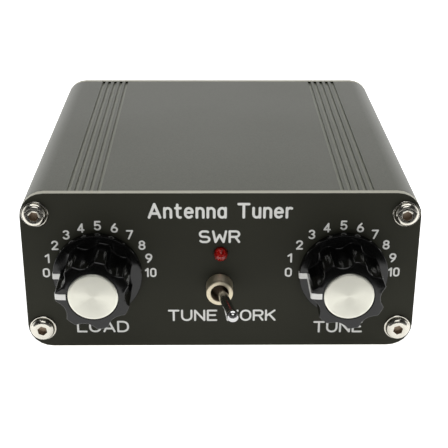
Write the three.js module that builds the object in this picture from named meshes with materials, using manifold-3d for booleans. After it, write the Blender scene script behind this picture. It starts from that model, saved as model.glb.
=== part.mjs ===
// Antenna tuner for low-power radio: a two-part extruded aluminium case with printed-board
// end panels, two variable capacitors turned by knobs, a toggle switch and a signal lamp in
// front, and two coaxial sockets and two binding posts behind.
// Millimetres. The origin is the centre of the case's underside, +X is right as seen from
// the front, +Y runs to the rear and +Z is up.

import * as THREE from 'three';
import { mergeVertices } from 'three/addons/utils/BufferGeometryUtils.js';
import Module from 'manifold-3d';

// Case
const caseWidth = 88;
const caseHeight = 38;
const shellLength = 84;
const panelThickness = 1.6;
const cornerRadius = 5.45;
const wall = 1.8;
const lipHeight = 1.2;
const lipWidth = 0.75;
const fitGap = 0.1;
const grooveCount = 5;
const groovePitch = 1.65;
const grooveWidth = 0.8;
const grooveDepth = 0.5;
const grooveGroupX = 29.9;

// Panel screws, M3 with button heads
const screwX = 40.6;
const screwInset = 4.8;
const screwHoleRadius = 1.6;
const channelRadius = 1.5;
const bossRadius = 2.45;
const shankRadius = 1.35;
const shankLength = 8;
const screwHeadRadius = 3;
const screwHeadHeight = 1.65;
const socketRadius = 1.155;

// Main circuit board
const boardWidth = 83.6;
const boardLength = 83;
const boardBottom = 7.3;
const boardTop = 8.9;
const ribWidth = 1.5;
const ribHeight = 1;

// Knobs and variable capacitors
const knobX = 27.4;
const controlZ = 19;
const lobeCount = 7;
const knobSides = 28;
const skirtRadius = 9.9;
const lobeRadius = 8.1;
const lobeEdge = -11.3;
const scallopRadius = 3.2;
const scallopCentre = 10;
const skirtBack = -0.6;
const skirtFront = -2.15;
const skirtEdge = 0.3;
const knobFront = -11.9;
const discRadius = 5.4;
const discFront = -12.05;
const recessFloor = -11.3;
const insertRadius = 3.75;
const insertBore = 3.1;
const insertFront = -9.4;
const shaftRadius = 3;
const setScrewRadius = 1.3;
const setScrewY = -5;
const capacitorSize = 20;
const capacitorBaseDepth = 2;
const capacitorDepth = 13;
const capacitorWall = 0.8;
const plateThickness = 0.5;
const platePitch = 2.8;
const plateCount = 3;
const statorPost = 1.2;
const rotorRadius = 8.4;
const plateGap = 2;
const spindleRadius = 1.6;

// Toggle switch and lamp
const switchX = -0.25;
const switchZ = 15.4;
const bushingRadius = 3;
const bushingBore = 2;
const bushingStandOut = 3.65;
const switchFrameFront = 2.1;
const switchFrameSize = {
  width: 14, height: 8, sheet: 0.5, tabThickness: 0.4, tabLength: 7, tabHeight: 6.4,
};
const switchBaseSize = { width: 13, depth: 9.4, height: 7.8, wall: 0.9, floor: 2.6 };
const rockerSize = { width: 9.6, thickness: 0.5, height: 2.4, pinRadius: 0.7, pinLength: 2.2 };
const leverPivotY = -1.5;
const leverLength = 12.56;
const leverTipRadius = 1.35;
const leverTail = 7.4;
const leverTilt = 12.5;
const rockerTilt = 8;
const rockerY = 7.1;
const lampZ = 23.6;
const lampRadius = 1.5;
const lampDomeY = -0.6;
const lampFlange = { radius: 1.9, front: 2.2, back: 3.2 };

// Coaxial sockets and binding posts
const socketX = 28;
const socketZ = 19;
const barrelRadius = 4.85;
const barrelBore = 4.05;
const threadRadius = 4.75;
const barrelStandOut = 14;
const housingSize = 14.5;
const housingDepth = 10.9;
const lugRadius = 1;
const lugFromTip = 4.1;
const coaxialNut = { corner: 7.3, thickness: 2.2 };
const postX = 9.5;
const postRadius = 5.2;
const studRadius = 2.9;
const postBaseHeight = 3;
const postStandOut = 19.4;
const capFlutes = 12;
const fluteDepth = 0.35;
const plugBore = 2;
const postNut = { corner: 4.6, thickness: 2.4 };
const wireHole = { radius: 1.1, fromBase: 1.6 };

// Inductor, a ring core lying flat above the board
const core = { x: -12, y: 4, inner: 7.25, outer: 13.45, bottom: 10, top: 21.1 };
const windingThickness = 0.9;
const windingGapDegrees = 50;

const frontFace = -shellLength / 2 - panelThickness;
const rearFace = -frontFace;
const overCut = 1;

const wasm = await Module();
wasm.setup();

// A closed geometry as a solid that can be joined and cut.
function solid(geometry) {
  const bare = geometry.clone();
  bare.deleteAttribute('normal');
  bare.deleteAttribute('uv');
  const merged = mergeVertices(bare, 1e-4);
  const corners = merged.index.array;
  const triangles = [];
  for (let i = 0; i < corners.length; i += 3) {
    const [a, b, c] = corners.slice(i, i + 3);
    if (a !== b && b !== c && c !== a) {
      triangles.push(a, b, c);
    }
  }
  return new wasm.Manifold(new wasm.Mesh({
    numProp: 3,
    vertProperties: new Float32Array(merged.attributes.position.array),
    triVerts: new Uint32Array(triangles),
  }));
}

function surface(body) {
  const mesh = body.getMesh();
  const geometry = new THREE.BufferGeometry();
  geometry.setAttribute('position', new THREE.BufferAttribute(mesh.vertProperties, 3));
  geometry.setIndex(new THREE.BufferAttribute(mesh.triVerts, 1));
  return geometry;
}

function joined(first, ...others) {
  return surface(others.reduce((body, other) => body.add(solid(other)), solid(first)));
}

function cut(first, ...others) {
  return surface(others.reduce((body, other) => body.subtract(solid(other)), solid(first)));
}

function radians(degrees) {
  return degrees * Math.PI / 180;
}

function polar(radius, degrees) {
  const angle = radians(degrees);
  return new THREE.Vector2(radius * Math.cos(angle), radius * Math.sin(angle));
}

// Points on a circular arc, in degrees from the first axis.
function arc(x, y, radius, from, to, steps) {
  const points = [];
  for (let i = 0; i <= steps; i += 1) {
    const point = polar(radius, from + (to - from) * i / steps);
    points.push(new THREE.Vector2(x + point.x, y + point.y));
  }
  return points;
}

function circle(x, y, radius, steps = 16) {
  return arc(x, y, radius, 0, 360, steps).slice(0, -1);
}

function roundedRectangle(width, height, radius, steps = 6) {
  const x = width / 2 - radius;
  const y = height / 2 - radius;
  return [
    ...arc(x, -y, radius, -90, 0, steps),
    ...arc(x, y, radius, 0, 90, steps),
    ...arc(-x, y, radius, 90, 180, steps),
    ...arc(-x, -y, radius, 180, 270, steps),
  ];
}

// An outline in X and Z, with holes, as a slab between two Y positions.
function slab(outline, holes, yFrom, yTo) {
  const shape = new THREE.Shape(outline);
  shape.holes = holes.map((hole) => new THREE.Path(hole));
  const geometry = new THREE.ExtrudeGeometry(shape, { depth: yTo - yFrom, bevelEnabled: false });
  return geometry.rotateX(Math.PI / 2).translate(0, yTo, 0);
}

// A profile of [radius, y] pairs, from low to high Y along its outer wall, turned about Y.
function turned(profile, segments = 16) {
  return new THREE.LatheGeometry(profile.map(([r, y]) => new THREE.Vector2(r, y)), segments);
}

function ring(inner, outer, yFrom, yTo, segments = 16) {
  return turned([[inner, yFrom], [outer, yFrom], [outer, yTo], [inner, yTo], [inner, yFrom]], segments);
}

function rod(radius, yFrom, yTo, segments = 16) {
  const geometry = new THREE.CylinderGeometry(radius, radius, yTo - yFrom, segments);
  return geometry.translate(0, (yFrom + yTo) / 2, 0);
}

function block(xFrom, xTo, yFrom, yTo, zFrom, zTo) {
  const geometry = new THREE.BoxGeometry(xTo - xFrom, yTo - yFrom, zTo - zFrom);
  return geometry.translate((xFrom + xTo) / 2, (yFrom + yTo) / 2, (zFrom + zTo) / 2);
}

// A block centred on the Y axis, between two Y positions.
function boxBehind(width, height, yFrom, yTo) {
  return block(-width / 2, width / 2, yFrom, yTo, -height / 2, height / 2);
}

const tuner = new THREE.Group();

function material(color, roughness, metalness) {
  return new THREE.MeshStandardMaterial({ color, roughness, metalness });
}

const finishes = {
  anodised: () => material(0x6c6e66, 0.5, 0.9),
  panel: () => material(0x23221e, 0.35, 0),
  steel: () => material(0xb9b8b4, 0.3, 1),
  nickel: () => material(0xc9c6bf, 0.22, 1),
  blackGloss: () => material(0x0e0e0e, 0.25, 0),
  spunAluminium: () => material(0xd6d6d4, 0.3, 1),
  brass: () => material(0xb6924a, 0.3, 1),
  aluminium: () => material(0xb4b6b8, 0.4, 1),
  clear: () => material(0xe2e6e8, 0.2, 0),
  cream: () => material(0xd9d3bf, 0.5, 0),
  blackMatte: () => material(0x1b1b1c, 0.6, 0),
  redLamp: () => material(0xa3120f, 0.15, 0),
  board: () => material(0x1f5a34, 0.45, 0),
  ironPowder: () => material(0x9c2c1f, 0.6, 0),
  copper: () => material(0xa8562a, 0.35, 0.8),
  fluoroplastic: () => material(0xefefea, 0.45, 0),
  gold: () => material(0xd2a94c, 0.25, 1),
  redPlastic: () => material(0xa81a16, 0.35, 0),
};

function add(name, geometry, finish, parent = tuner) {
  const mesh = new THREE.Mesh(geometry, finishes[finish]());
  mesh.name = name;
  parent.add(mesh);
}

function groupAt(x, y, z) {
  const group = new THREE.Group();
  group.position.set(x, y, z);
  tuner.add(group);
  return group;
}

// The top edge of half the case, from right to left, with its two groups of grooves.
function groovedEdge(height) {
  const points = [];
  for (const groupX of [grooveGroupX, -grooveGroupX]) {
    for (let i = 0; i < grooveCount; i += 1) {
      const x = groupX - (i - (grooveCount - 1) / 2) * groovePitch;
      const right = x + grooveWidth / 2;
      const left = x - grooveWidth / 2;
      points.push([right, height], [right, height - grooveDepth]);
      points.push([left, height - grooveDepth], [left, height]);
    }
  }
  return points.map(([x, y]) => new THREE.Vector2(x, y));
}

// Half of the case's section. Heights are measured away from the split between the halves.
// One half has a lip inside each side wall, and the other has the step that takes it.
function shellSection(hasLip) {
  const height = caseHeight / 2;
  const outside = caseWidth / 2;
  const inside = outside - wall;
  const arcX = outside - cornerRadius;
  const arcY = height - cornerRadius;
  const innerRadius = cornerRadius - wall;
  const stepX = hasLip ? inside + lipWidth : inside + lipWidth + fitGap;
  const stepY = hasLip ? -lipHeight : lipHeight + fitGap;
  const joint = [[stepX, 0], [stepX, stepY], [inside, stepY]];
  return [
    new THREE.Vector2(outside, 0),
    ...arc(arcX, arcY, cornerRadius, 0, 90, 8),
    ...groovedEdge(height),
    ...arc(-arcX, arcY, cornerRadius, 90, 180, 8),
    new THREE.Vector2(-outside, 0),
    ...joint.map(([x, y]) => new THREE.Vector2(-x, y)),
    ...arc(-arcX, arcY, innerRadius, 180, 90, 6),
    ...arc(arcX, arcY, innerRadius, 90, 0, 6),
    ...joint.reverse().map(([x, y]) => new THREE.Vector2(x, y)),
  ];
}

// One half of the case: side is 1 for the top and -1 for the bottom.
function shell(side) {
  const end = shellLength / 2;
  const middle = caseHeight / 2;
  const outline = shellSection(side < 0).map((p) => new THREE.Vector2(p.x, middle + side * p.y));
  let body = solid(slab(outline, [], -end, end));
  const screwZ = middle + side * (middle - screwInset);
  for (const x of [-screwX, screwX]) {
    const boss = rod(bossRadius, -end, end).translate(x, 0, screwZ);
    const channel = rod(channelRadius, -end - overCut, end + overCut, 12).translate(x, 0, screwZ);
    body = body.add(solid(boss)).subtract(solid(channel));
  }
  if (side < 0) {
    const ribOutside = caseWidth / 2 - wall + fitGap;
    const ribInside = ribOutside - ribWidth;
    const ribBottom = boardTop + fitGap / 2;
    for (const x of [-ribOutside, ribInside]) {
      body = body.add(solid(block(x, x + ribWidth, -end, end, ribBottom, ribBottom + ribHeight)));
    }
  }
  return surface(body);
}

function endPanel(holes, yFrom) {
  const outline = roundedRectangle(caseWidth, caseHeight, cornerRadius);
  const middle = caseHeight / 2;
  const raised = outline.map((p) => new THREE.Vector2(p.x, p.y + middle));
  const screwHoles = [];
  for (const x of [-screwX, screwX]) {
    for (const z of [screwInset, caseHeight - screwInset]) {
      screwHoles.push(circle(x, z, screwHoleRadius, 12));
    }
  }
  return slab(raised, [...screwHoles, ...holes], yFrom, yFrom + panelThickness);
}

// A button-head screw whose head stands out towards -Y from y = 0.
function panelScrew() {
  const profile = [
    [0, -screwHeadHeight],
    [1.7, -screwHeadHeight],
    [2.5, -1.15],
    [screwHeadRadius, -0.4],
    [screwHeadRadius, 0],
    [shankRadius, 0],
    [shankRadius, shankLength - 0.6],
    [0.8, shankLength],
    [0, shankLength],
  ];
  const hexagon = rod(socketRadius, -screwHeadHeight - overCut, -screwHeadHeight + 1, 6);
  return cut(turned(profile, 12), hexagon);
}

function addCase() {
  add('top_shell', shell(1), 'anodised');
  add('bottom_shell', shell(-1), 'anodised');
  const frontHoles = [
    circle(-knobX, controlZ, shaftRadius + 0.4),
    circle(knobX, controlZ, shaftRadius + 0.4),
    circle(switchX, switchZ, bushingRadius + fitGap),
    circle(0, lampZ, lampRadius + fitGap),
  ];
  const rearHoles = [];
  for (const side of [-1, 1]) {
    rearHoles.push(circle(side * socketX, socketZ, threadRadius + fitGap));
    rearHoles.push(circle(side * postX, socketZ, studRadius + 0.3));
  }
  add('front_panel', endPanel(frontHoles, frontFace), 'panel');
  add('rear_panel', endPanel(rearHoles, shellLength / 2), 'panel');
  const places = { left: -screwX, right: screwX };
  const levels = { bottom: screwInset, top: caseHeight - screwInset };
  for (const [level, z] of Object.entries(levels)) {
    for (const [place, x] of Object.entries(places)) {
      const front = panelScrew().translate(x, frontFace, z);
      const rear = panelScrew().rotateZ(Math.PI).translate(x, rearFace, z);
      add(`front_screw_${level}_${place}`, front, 'steel');
      add(`rear_screw_${level}_${place}`, rear, 'steel');
    }
  }
  const halfWidth = boardWidth / 2;
  const halfLength = boardLength / 2;
  const board = block(-halfWidth, halfWidth, -halfLength, halfLength, boardBottom, boardTop);
  add('main_board', board, 'board');
}

// The knob's fluted outline: round lobes with scallops between them. At no turn, one lobe
// points to -X.
function lobedOutline(turn) {
  const step = 360 / lobeCount;
  const top = scallopCentre ** 2 + lobeRadius ** 2 - scallopRadius ** 2;
  const edge = Math.acos(top / (2 * scallopCentre * lobeRadius)) * 180 / Math.PI;
  const rise = lobeRadius * Math.sin(radians(edge));
  const run = scallopCentre - lobeRadius * Math.cos(radians(edge));
  const swing = Math.atan2(rise, run) * 180 / Math.PI;
  const points = [];
  for (let i = 0; i < lobeCount; i += 1) {
    const lobe = 180 + turn + i * step;
    const valley = lobe + step / 2;
    const centre = polar(scallopCentre, valley);
    const scallop = arc(centre.x, centre.y, scallopRadius, valley + 180 + swing, valley + 180 - swing, 4);
    points.push(...arc(0, 0, lobeRadius, lobe - step / 2 + edge, valley - edge, 2));
    points.push(...scallop.slice(1, -1));
  }
  return points;
}

// The set screw lies in the valley nearest the knob's underside.
const setScrewAngle = 180 + 360 / lobeCount * 1.5;

// A rod that runs outwards from the knob's axis, from one radius to another.
function radialRod(radius, from, to) {
  const geometry = rod(radius, from, to, 12).rotateZ(-Math.PI / 2);
  return geometry.rotateY(-radians(setScrewAngle)).translate(0, setScrewY, 0);
}

function knob(turn) {
  const lobes = solid(slab(lobedOutline(turn), [], knobFront, skirtFront));
  const overlap = 0.2;
  const shoulder = turned([
    [0, knobFront],
    [6.8, knobFront],
    [7.7, -11.7],
    [lobeRadius, lobeEdge],
    [lobeRadius + overlap, lobeEdge + overlap],
    [lobeRadius + overlap, skirtFront + overlap],
    [0, skirtFront + overlap],
  ], knobSides);
  const skirt = turned([
    [0, skirtFront],
    [skirtRadius - skirtEdge, skirtFront],
    [skirtRadius, skirtFront + skirtEdge],
    [skirtRadius, skirtBack],
    [0, skirtBack],
  ], knobSides);
  const hollow = ring(4.7, 6, -8.5, overCut);
  const bore = rod(insertRadius + fitGap, insertFront - 0.3, overCut);
  const recess = rod(discRadius + 0.25, knobFront - overCut, recessFloor, knobSides);
  const screwHole = radialRod(setScrewRadius + 0.35, 3.3, 10);
  return surface(lobes.intersect(solid(shoulder))
    .add(solid(skirt))
    .subtract(solid(hollow))
    .subtract(solid(bore))
    .subtract(solid(recess))
    .subtract(solid(screwHole)));
}

function halfDisc(radius, innerRadius) {
  return [...arc(0, 0, radius, 180, 360, 12), ...arc(0, 0, innerRadius, 360, 180, 4)];
}

const plateStart = panelThickness + capacitorBaseDepth + plateGap;

// Half-round plates on a spindle, behind the panel. They hang below the axis at rest.
function rotor() {
  const spindleFront = panelThickness + capacitorBaseDepth;
  const last = plateStart + (plateCount - 1) * platePitch + plateThickness;
  const plates = [];
  for (let i = 0; i < plateCount; i += 1) {
    const y = plateStart + i * platePitch;
    plates.push(slab(halfDisc(rotorRadius, 1), [], y, y + plateThickness));
  }
  return joined(rod(spindleRadius, spindleFront, last + 0.6, 12), ...plates);
}

// Fixed plates between the moving ones, joined by two posts outside the rotor's sweep.
function stator() {
  const half = capacitorSize / 2 - capacitorWall - 0.4;
  const first = plateStart + platePitch / 2;
  const last = first + (plateCount - 1) * platePitch + plateThickness;
  const outline = [
    new THREE.Vector2(-half, 0.8),
    ...arc(0, 0.8, 2.6, 180, 0, 6),
    new THREE.Vector2(half, 0.8),
    new THREE.Vector2(half, half),
    new THREE.Vector2(-half, half),
  ];
  const pieces = [];
  for (let i = 0; i < plateCount; i += 1) {
    const y = first + i * platePitch;
    pieces.push(slab(outline, [], y, y + plateThickness));
  }
  for (const x of [-half, half - statorPost]) {
    pieces.push(block(x, x + statorPost, first, last, half - statorPost, half));
  }
  return joined(...pieces);
}

function capacitorBase() {
  const outline = roundedRectangle(capacitorSize, capacitorSize, 1, 2);
  const bore = circle(0, 0, shaftRadius + 0.3);
  return slab(outline, [bore], panelThickness, panelThickness + capacitorBaseDepth);
}

function capacitorCover() {
  const front = panelThickness + capacitorBaseDepth;
  const back = panelThickness + capacitorDepth;
  const outer = slab(roundedRectangle(capacitorSize, capacitorSize, 1, 2), [], front, back);
  const half = capacitorSize / 2 - capacitorWall;
  return cut(outer, block(-half, half, front - overCut, back - capacitorWall, -half, half));
}

// One control: a knob on the shaft of a variable capacitor. The lobes' turn is in degrees.
function addControl(name, x, turn) {
  const control = groupAt(x, frontFace, controlZ);
  const shaftBack = panelThickness + capacitorBaseDepth;
  const insert = ring(insertBore, insertRadius, insertFront, skirtBack - 0.3);
  const insertHole = radialRod(setScrewRadius + 0.35, 2, 5);
  add(`${name}_knob`, knob(turn), 'blackGloss', control);
  add(`${name}_knob_disc`, rod(discRadius, discFront, recessFloor, knobSides), 'spunAluminium', control);
  add(`${name}_knob_insert`, cut(insert, insertHole), 'brass', control);
  add(`${name}_set_screw`, radialRod(setScrewRadius, 3.35, 6.4), 'steel', control);
  add(`${name}_shaft`, rod(shaftRadius, insertFront + 0.4, shaftBack), 'brass', control);
  add(`${name}_rotor`, rotor(), 'aluminium', control);
  add(`${name}_stator`, stator(), 'aluminium', control);
  add(`${name}_capacitor_base`, capacitorBase(), 'cream', control);
  add(`${name}_capacitor_cover`, capacitorCover(), 'clear', control);
}

// The toggle lever along -Y from its ball at the origin, with its tail behind.
function lever() {
  const tip = arc(0, -leverLength, leverTipRadius, -90, 40, 5).map((p) => [Math.max(p.x, 0), p.y]);
  return turned([
    ...tip,
    [1.05, -leverLength + 2],
    [1.15, -3.5],
    [1.1, -1.6],
    [1.45, -0.85],
    [1.7, 0],
    [1.45, 0.85],
    [0.8, 1.6],
    [0.7, leverTail],
    [0.4, leverTail + 0.5],
    [0, leverTail + 0.6],
  ], 12);
}

function addSwitch() {
  const toggle = groupAt(switchX, frontFace, switchZ);
  const { width, height, sheet, tabThickness, tabLength, tabHeight } = switchFrameSize;
  const frameBack = switchFrameFront + sheet;
  const bushing = turned([
    [bushingBore, -bushingStandOut],
    [bushingRadius - 0.35, -bushingStandOut],
    [bushingRadius, -bushingStandOut + 0.35],
    [bushingRadius, switchFrameFront],
    [bushingBore, switchFrameFront],
    [bushingBore, -bushingStandOut],
  ]);
  const hole = circle(0, 0, bushingBore + 0.3);
  const plate = slab(roundedRectangle(width, height, 0.4, 2), [hole], switchFrameFront, frameBack);
  const tabs = [-width / 2, width / 2 - tabThickness].map((x) => (
    block(x, x + tabThickness, switchFrameFront, frameBack + tabLength, -tabHeight / 2, tabHeight / 2)
  ));
  const box = switchBaseSize;
  const base = boxBehind(box.width, box.height, frameBack, frameBack + box.depth);
  const well = boxBehind(
    box.width - box.wall * 2,
    box.height - box.wall * 2,
    frameBack - overCut,
    frameBack + box.depth - box.floor,
  );
  const pin = rod(rockerSize.pinRadius, -rockerSize.pinLength / 2, rockerSize.pinLength / 2, 12);
  const rocker = joined(
    boxBehind(rockerSize.width, rockerSize.height, 0, rockerSize.thickness),
    pin.rotateX(Math.PI / 2).translate(0, rockerSize.pinRadius - 0.1, 0),
  );
  add('switch_bushing', bushing, 'nickel', toggle);
  add('switch_frame', joined(plate, ...tabs), 'steel', toggle);
  add('switch_base', cut(base, well), 'redPlastic', toggle);
  const tilted = new THREE.Group();
  tilted.position.y = leverPivotY;
  tilted.rotation.z = radians(leverTilt);
  toggle.add(tilted);
  add('switch_lever', lever(), 'nickel', tilted);
  const rocked = new THREE.Group();
  rocked.position.y = rockerY;
  rocked.rotation.z = -radians(rockerTilt);
  toggle.add(rocked);
  add('switch_rocker', rocker, 'brass', rocked);
}

function addLamp() {
  const lamp = groupAt(0, frontFace, lampZ);
  const dome = arc(0, lampDomeY, lampRadius, -90, 0, 4).map((p) => [Math.abs(p.x) < 1e-6 ? 0 : p.x, p.y]);
  const { radius, front, back } = lampFlange;
  const body = turned([...dome, [lampRadius, front], [radius, front], [radius, back], [0, back]]);
  add('lamp_lens', body, 'redLamp', lamp);
}

function coaxialBarrel() {
  const tip = barrelStandOut;
  const barrel = turned([
    [0, -1.7],
    [threadRadius, -1.7],
    [threadRadius, 4.6],
    [barrelRadius, 4.8],
    [barrelRadius, tip],
    [barrelBore, tip],
    [barrelBore, 5.2],
    [0, 5.2],
  ], 20);
  const lugs = [-1, 1].map((side) => {
    const lug = rod(lugRadius, 0, 1.3, 10).rotateZ(-side * Math.PI / 2);
    return lug.translate(side * (barrelRadius - 0.5), tip - lugFromTip, 0);
  });
  return joined(barrel, ...lugs);
}

function addCoaxialSocket(name, x) {
  const socket = groupAt(x, rearFace, socketZ);
  const half = housingSize / 2;
  const housingFront = -panelThickness - housingDepth;
  const boardLevel = boardTop + fitGap / 2 - socketZ;
  const housing = block(-half, half, housingFront, -panelThickness - fitGap, boardLevel, half);
  const nutBore = circle(0, 0, threadRadius + fitGap);
  const nut = slab(circle(0, 0, coaxialNut.corner, 6), [nutBore], 0, coaxialNut.thickness);
  const contact = turned([[0, 5.2], [1.05, 5.2], [1.05, 12.6], [0.5, 12.6], [0.5, 8], [0, 8]], 12);
  add(`${name}_socket_housing`, housing, 'blackMatte', socket);
  add(`${name}_socket_barrel`, coaxialBarrel(), 'nickel', socket);
  add(`${name}_socket_insulator`, ring(1.2, 2.45, 5.2, 12.8), 'fluoroplastic', socket);
  add(`${name}_socket_contact`, contact, 'gold', socket);
  add(`${name}_socket_nut`, nut, 'nickel', socket);
}

// A binding post. Its cap screws out along the stud to let a wire into the cross hole.
function addPost(name, x, finish) {
  const post = groupAt(x, rearFace, socketZ);
  const capBack = postBaseHeight + 0.2;
  const studEnd = postStandOut - 3;
  const base = ring(studRadius + fitGap, postRadius, 0, postBaseHeight);
  const stud = turned([
    [0, -8],
    [studRadius, -8],
    [studRadius, studEnd],
    [plugBore, studEnd],
    [plugBore, 6.4],
    [0, 6.4],
  ]);
  const drill = rod(wireHole.radius, -4, 4, 12).rotateZ(Math.PI / 2);
  const crossHole = drill.translate(0, postBaseHeight + wireHole.fromBase, 0);
  const outline = [];
  for (let i = 0; i < capFlutes * 2; i += 1) {
    const radius = i % 2 === 0 ? postRadius : postRadius - fluteDepth;
    outline.push(polar(radius, 180 * i / capFlutes));
  }
  const bore = turned([
    [0, 0],
    [4, 0],
    [4, 12],
    [studRadius + 0.2, 12],
    [studRadius + 0.2, studEnd + 0.6],
    [plugBore + 0.25, studEnd + 0.6],
    [plugBore + 0.25, postStandOut + overCut],
    [0, postStandOut + overCut],
  ]);
  const nutBore = circle(0, 0, studRadius + fitGap);
  const nutFront = -panelThickness - postNut.thickness;
  const nut = slab(circle(0, 0, postNut.corner, 6), [nutBore], nutFront, -panelThickness);
  add(`${name}_post_base`, base, finish, post);
  add(`${name}_post_stud`, cut(stud, crossHole), 'nickel', post);
  add(`${name}_post_insert`, ring(studRadius + fitGap, 3.9, capBack + 0.3, 11.9), 'brass', post);
  add(`${name}_post_cap`, cut(slab(outline, [], capBack, postStandOut), bore), finish, post);
  add(`${name}_post_nut`, nut, 'nickel', post);
}

// The ring core, and its winding as a sleeve round most of it.
function addInductor() {
  const inductor = groupAt(core.x, core.y, 0);
  const upright = (geometry) => geometry.rotateX(Math.PI / 2);
  const around = (growth) => upright(
    ring(core.inner - growth, core.outer + growth, core.bottom - growth, core.top + growth),
  );
  const reach = core.outer * 2;
  const halfGap = windingGapDegrees / 2;
  const wedge = [new THREE.Vector2(0, 0), polar(reach, -halfGap), polar(reach, halfGap)];
  const gap = upright(slab(wedge, [], 0, core.top * 2));
  add('inductor_core', around(0), 'ironPowder', inductor);
  add('inductor_winding', cut(around(windingThickness), around(fitGap), gap), 'copper', inductor);
}

addCase();
addControl('load', -knobX, 0);
addControl('tune', knobX, -3);
addSwitch();
addLamp();
addCoaxialSocket('radio', -socketX);
addCoaxialSocket('antenna', socketX);
addPost('red', -postX, 'redPlastic');
addPost('black', postX, 'blackGloss');
addInductor();

export default tuner;
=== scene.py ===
import math

import bpy
from mathutils import Matrix, Vector


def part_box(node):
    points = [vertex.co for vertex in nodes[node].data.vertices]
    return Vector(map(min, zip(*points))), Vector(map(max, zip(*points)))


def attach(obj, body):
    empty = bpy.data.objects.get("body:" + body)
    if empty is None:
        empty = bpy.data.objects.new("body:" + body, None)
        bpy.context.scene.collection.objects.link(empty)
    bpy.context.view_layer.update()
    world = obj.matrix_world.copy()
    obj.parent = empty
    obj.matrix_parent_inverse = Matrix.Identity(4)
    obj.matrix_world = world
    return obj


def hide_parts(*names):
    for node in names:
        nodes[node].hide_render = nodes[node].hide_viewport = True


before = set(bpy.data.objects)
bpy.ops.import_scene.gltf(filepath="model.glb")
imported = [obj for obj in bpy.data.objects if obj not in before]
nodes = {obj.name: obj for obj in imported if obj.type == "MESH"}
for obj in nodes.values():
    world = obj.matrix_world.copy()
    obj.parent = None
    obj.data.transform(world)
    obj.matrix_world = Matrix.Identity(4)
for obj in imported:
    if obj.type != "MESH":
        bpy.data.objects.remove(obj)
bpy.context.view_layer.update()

mm = 0.001
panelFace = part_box("front_panel")[0][1]
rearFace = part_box("rear_panel")[1][1]
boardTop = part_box("main_board")[1][2]
# how far a lead goes into what holds it
buried = 0.5 * mm
print("frame loaded")


def linear(hexColour, alpha=1.0):
    parts = [int(hexColour[i:i + 2], 16) / 255 for i in (1, 3, 5)]
    return tuple(p / 12.92 if p <= 0.04045 else ((p + 0.055) / 1.055) ** 2.4 for p in parts) + (alpha,)


def addNode(tree, kind, inputs=None, **settings):
    node = tree.nodes.new(kind)
    for name, value in settings.items():
        setattr(node, name, value)
    for name, value in (inputs or {}).items():
        if isinstance(value, bpy.types.NodeSocket):
            tree.links.new(value, node.inputs[name])
        else:
            node.inputs[name].default_value = value
    return node


def newFinish(name, sockets):
    finish = bpy.data.materials.new(name)
    finish.use_nodes = True
    tree = finish.node_tree
    tree.nodes.clear()
    shader = addNode(tree, "ShaderNodeBsdfPrincipled", sockets)
    addNode(tree, "ShaderNodeOutputMaterial", {"Surface": shader.outputs[0]})
    place = addNode(tree, "ShaderNodeTexCoord").outputs["Object"]
    return finish, tree, shader, place


# A noise pattern's scale from the size of its grain in millimetres.
def perMetre(grain):
    return 1 / (grain * mm)


# A wave pattern's scale from its pitch in millimetres: at scale 1 its period is pi / 10.
def wavesPerMetre(pitch):
    return math.pi / 10 / (pitch * mm)


def mixColours(tree, factor, first, second):
    mix = addNode(tree, "ShaderNodeMix", {0: factor, 6: first, 7: second}, data_type="RGBA")
    return mix.outputs[2]


def spread(tree, value, low, high):
    ranged = addNode(tree, "ShaderNodeMapRange", {"Value": value, "To Min": low, "To Max": high})
    return ranged.outputs[0]


def bumpFrom(tree, shader, height, distance):
    bump = addNode(tree, "ShaderNodeBump", {"Height": height, "Distance": distance * mm})
    tree.links.new(bump.outputs[0], shader.inputs["Normal"])


# Colour and roughness that drift over the surface, with a fine grain in the bump.
# Patch, grain and depth are in millimetres.
def grainyFinish(name, sockets, dark, light, patch, grain, depth, smooth, rough, fleck=None):
    finish, tree, shader, place = newFinish(name, sockets)
    drift = addNode(tree, "ShaderNodeTexNoise", {"Vector": place, "Scale": perMetre(patch), "Detail": 4.0})
    fine = addNode(tree, "ShaderNodeTexNoise", {"Vector": place, "Scale": perMetre(grain), "Detail": 3.0})
    colour = mixColours(tree, drift.outputs[0], linear(dark), linear(light))
    if fleck:
        colour = mixColours(tree, fine.outputs[0], colour, linear(fleck))
    tree.links.new(colour, shader.inputs["Base Color"])
    tree.links.new(spread(tree, drift.outputs[0], smooth, rough), shader.inputs["Roughness"])
    bumpFrom(tree, shader, fine.outputs[0], depth)
    return finish


# The weave's and clouds' sizes are in millimetres.
mask = {"weave": 0.9, "depth": 0.0015, "drift": 25, "cloud": 6, "uneven": 0.04}


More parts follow.
